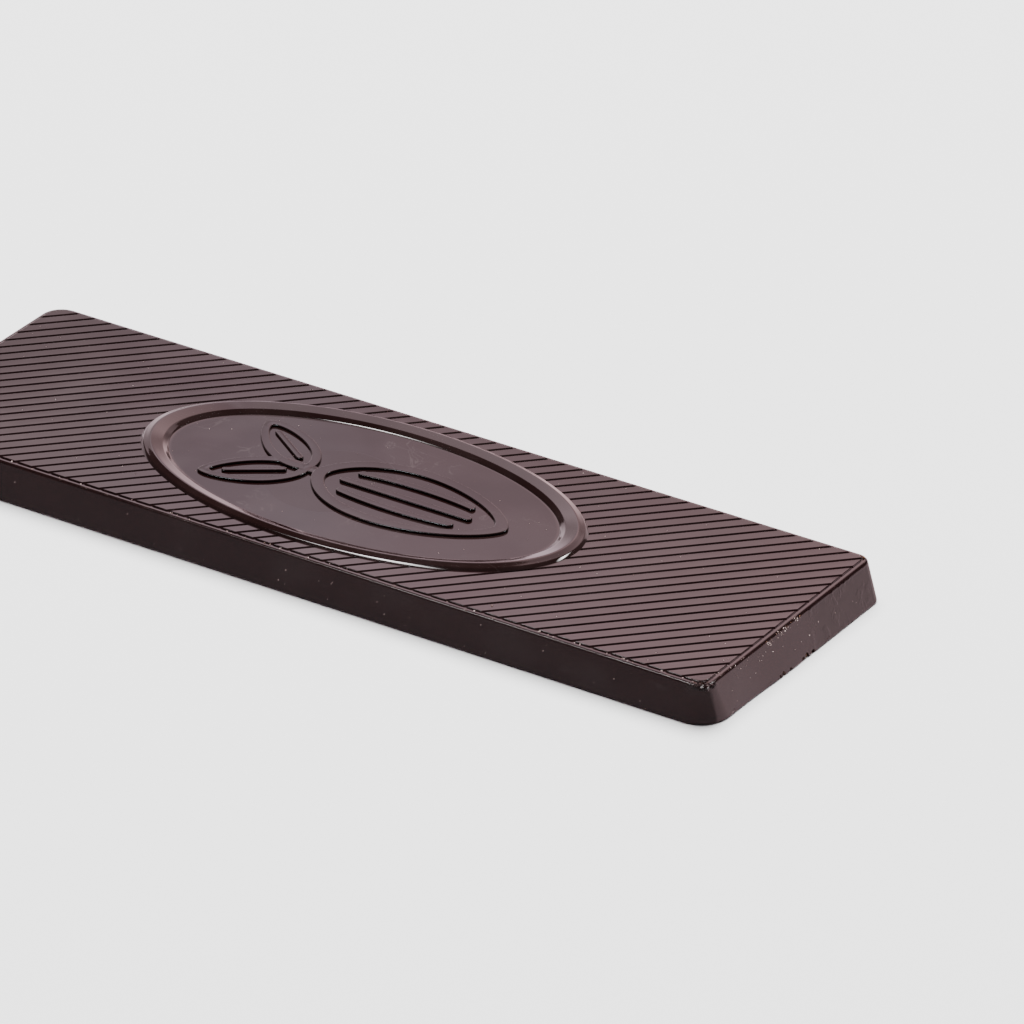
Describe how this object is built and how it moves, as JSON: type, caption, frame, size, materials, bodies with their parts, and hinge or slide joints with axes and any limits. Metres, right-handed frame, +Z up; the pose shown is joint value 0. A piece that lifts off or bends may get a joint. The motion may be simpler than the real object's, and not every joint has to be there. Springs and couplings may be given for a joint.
{
  "type": "chocolate bar",
  "caption": "Thin moulded dark chocolate bar with slanting grooves, a narrow ledge round the top, an oval rim and a cocoa pod in low relief.",
  "frame": {"origin": "centre of the underside's rectangle, on the surface the bar lies on", "axes": "+X along the bar's length, +Y across it, +Z up out of the moulded face"},
  "size_m": [0.1674, 0.0518, 0.0086],
  "materials": {
    "chocolate": "satin gloss, dark brown"
  },
  "bodies": {
    "root": {"chocolate_bar": "chocolate"}
  },
  "joints": []
}
